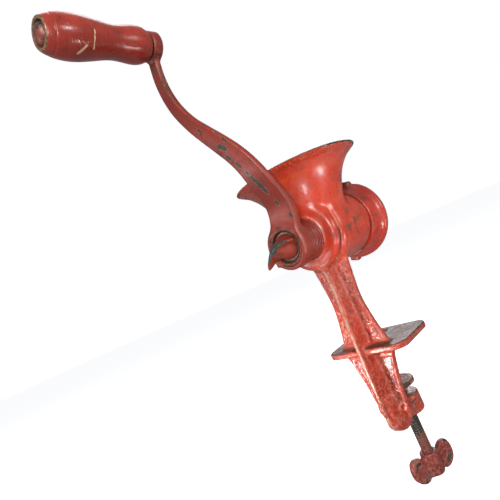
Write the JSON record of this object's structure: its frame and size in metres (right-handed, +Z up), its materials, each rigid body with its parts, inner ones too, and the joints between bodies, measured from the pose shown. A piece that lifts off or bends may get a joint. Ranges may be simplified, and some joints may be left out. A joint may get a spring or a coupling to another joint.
{
  "type": "sausage stuffer",
  "caption": "Hand-cranked cast sausage stuffer and mincer with a trumpet hopper, bell-shaped ring nut, curved crank with turned grip, and a screw table clamp.",
  "frame": {"origin": "on the clamp screw axis, in the plane of the table-rest face under the table plate", "axes": "+Z up along the clamp screw towards the hopper, +X along the barrel from the crank to the outlet, +Y to the left seen from behind the crank"},
  "size_m": [0.2305, 0.1132, 0.437],
  "materials": {
    "casting_enamel": "glossy red enamel over rough cast iron, worn at the edges",
    "crank_enamel": "glossy red enamel, chipped to dark iron",
    "ring_enamel": "red enamel with a bare worn rim",
    "wing_enamel": "dull maroon enamel with dark bare patches",
    "grip_wood": "turned hardwood under worn dark red paint",
    "steel_fittings": "dark oiled steel",
    "bright_steel": "ground steel",
    "tinned_iron": "dull tinned cast iron",
    "screw_iron": "dark threaded rod with red paint in the valleys",
    "pad_iron": "worn dark iron with red remnants",
    "fibre": "pressed fibre"
  },
  "bodies": {
    "casting": {"body_casting": "casting_enamel", "disc_key_pin": "steel_fittings"},
    "crank": {"crank_arm": "crank_enamel", "feed_screw": "tinned_iron", "feed_screw_stud": "steel_fittings", "thrust_washer": "fibre", "cutter_knife": "bright_steel", "handle_spindle": "steel_fittings", "grip_end_washer": "steel_fittings", "grip_base_washer": "steel_fittings"},
    "grip": {"handle_grip": "grip_wood"},
    "thumb_washer": {"crank_washer": "steel_fittings"},
    "thumb_screw": {"crank_thumb_screw": "crank_enamel"},
    "disc": {"perforated_disc": "bright_steel"},
    "ring": {"ring_nut": "ring_enamel"},
    "pad": {"clamp_pad": "pad_iron"},
    "clamp": {"clamp_screw": "screw_iron", "pad_retaining_washer": "steel_fittings", "clamp_wing": "wing_enamel", "clamp_wing_pin": "steel_fittings"}
  },
  "joints": [
    {"name": "crank_turn", "type": "hinge", "parent": "casting", "child": "crank", "pos_m": [0, 0, 0.109], "axis": [1, 0, 0], "continuous": true},
    {"name": "grip_turn", "type": "hinge", "parent": "crank", "child": "grip", "pos_m": [-0.14, 0.01891, 0.29846], "axis": [1, 0, 0], "continuous": true},
    {"name": "thumb_travel", "type": "slide", "parent": "crank", "child": "thumb_washer", "axis": [-1, 0, 0], "range_m": [0, 0.01]},
    {"name": "thumb_turn", "type": "hinge", "parent": "thumb_washer", "child": "thumb_screw", "pos_m": [-0.06, 0, 0.109], "axis": [-1, 0, 0], "range_deg": [0, 2400]},
    {"name": "disc_travel", "type": "slide", "parent": "casting", "child": "disc", "axis": [1, 0, 0], "range_m": [0, 0.01]},
    {"name": "ring_turn", "type": "hinge", "parent": "disc", "child": "ring", "pos_m": [0.04, 0, 0.109], "axis": [1, 0, 0], "range_deg": [0, 1440]},
    {"name": "clamp_travel", "type": "slide", "parent": "casting", "child": "pad", "axis": [0, 0, 1], "range_m": [0, 0.031]},
    {"name": "clamp_turn", "type": "hinge", "parent": "pad", "child": "clamp", "pos_m": [0, 0, -0.08], "axis": [0, 0, 1], "range_deg": [0, 5580]}
  ],
  "couplings": [
    {"joint": "thumb_travel", "follows": "thumb_turn", "m_per_rad": 0.00023873},
    {"joint": "disc_travel", "follows": "ring_turn", "m_per_rad": 0.00039789},
    {"joint": "clamp_travel", "follows": "clamp_turn", "m_per_rad": 0.00031831}
  ]
}
